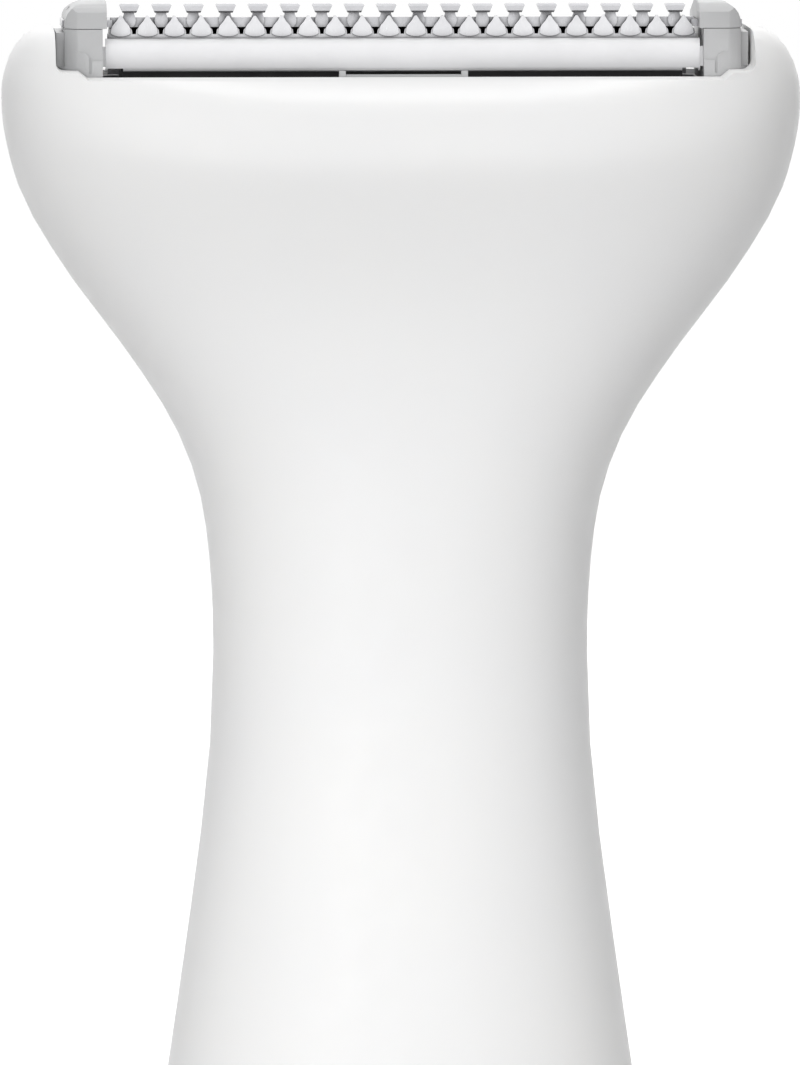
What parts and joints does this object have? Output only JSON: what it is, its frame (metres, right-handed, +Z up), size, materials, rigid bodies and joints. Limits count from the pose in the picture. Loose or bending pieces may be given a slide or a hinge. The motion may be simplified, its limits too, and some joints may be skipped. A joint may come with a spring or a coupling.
{
  "type": "epilator, comb trimmer head",
  "caption": "Cordless epilator-style body trimmer: waisted matt white handle, flared head, lift-off cutter with a sliding blade behind a blunt comb",
  "frame": {"origin": "centre of the flat base of the battery cap, under the middle of the whole box", "axes": "+Z up the handle towards the cutter, +X across the width of the head, -Y out of the front, where the switch button is"},
  "size_m": [0.0498, 0.029, 0.145],
  "materials": {
    "white_plastic": "fine matt moulded shell",
    "grey_plastic": "matt moulded",
    "inner_plastic": "plain moulded, natural",
    "silver_plastic": "silver-grey moulded, satin",
    "button_plastic": "satin moulded",
    "black_plastic": "matt black moulded",
    "black_rubber": "matt",
    "silicone_ring": "satin",
    "contact_metal": "nickel-plated strip and wire",
    "brass": "plain",
    "battery_sleeve": "plain sleeve, no print",
    "board_green": "solder mask",
    "component_black": "moulded package",
    "motor_steel": "plated can",
    "polished_steel": "bright turned steel",
    "blade_steel": "ground and etched blade steel",
    "satin_bar": "bead-blasted satin"
  },
  "bodies": {
    "housing": {"front_shell": "white_plastic", "rear_shell": "white_plastic", "cutter_well": "grey_plastic", "well_screws": "polished_steel", "drive_seal": "black_rubber", "battery_tube": "inner_plastic", "cap_o_ring": "silicone_ring", "battery": "battery_sleeve", "positive_contact": "contact_metal", "return_strip": "contact_metal", "circuit_board": "board_green", "board_components": "component_black", "slide_switch": "contact_metal", "motor_can": "motor_steel", "motor_end_bell": "black_plastic", "motor_terminals": "brass", "motor_bearing": "brass", "drive_frame": "inner_plastic", "motor_screws": "polished_steel", "frame_screws": "polished_steel", "pivot_pin": "polished_steel"},
    "rotor": {"motor_shaft": "polished_steel", "eccentric": "inner_plastic"},
    "lever": {"drive_lever": "inner_plastic"},
    "cutter_unit": {"cutter_frame": "silver_plastic", "end_caps": "silver_plastic", "end_cap_screws": "polished_steel", "guard_comb": "blade_steel", "front_bar": "satin_bar", "carrier_springs": "contact_metal"},
    "blade": {"moving_blade": "blade_steel", "blade_carrier": "black_plastic"},
    "switch": {"switch_button": "button_plastic", "switch_knob": "black_plastic"},
    "cap": {"battery_cap": "white_plastic", "negative_plate": "contact_metal", "negative_spring": "contact_metal"}
  },
  "joints": [
    {"name": "motor_spin", "type": "hinge", "parent": "housing", "child": "rotor", "pos_m": [0, 0, 0.0985], "axis": [0, 0, 1], "continuous": true},
    {"name": "lever_swing", "type": "hinge", "parent": "housing", "child": "lever", "pos_m": [0, 0, 0.118], "axis": [0, 1, 0], "range_deg": [-2.5, 2.5]},
    {"name": "cutter_lift", "type": "slide", "parent": "housing", "child": "cutter_unit", "axis": [0, 0, 1], "range_m": [0, 0.016]},
    {"name": "blade_slide", "type": "slide", "parent": "cutter_unit", "child": "blade", "axis": [1, 0, 0], "range_m": [-0.0008, 0.0008]},
    {"name": "switch_slide", "type": "slide", "parent": "housing", "child": "switch", "axis": [0, 0, 1], "range_m": [0, 0.003]},
    {"name": "cap_pull", "type": "slide", "parent": "housing", "child": "cap", "axis": [0, 0, -1], "range_m": [0, 0.03]}
  ],
  "couplings": [
    {"joint": "lever_swing", "follows": "blade_slide", "rad_per_m": 52.632}
  ]
}
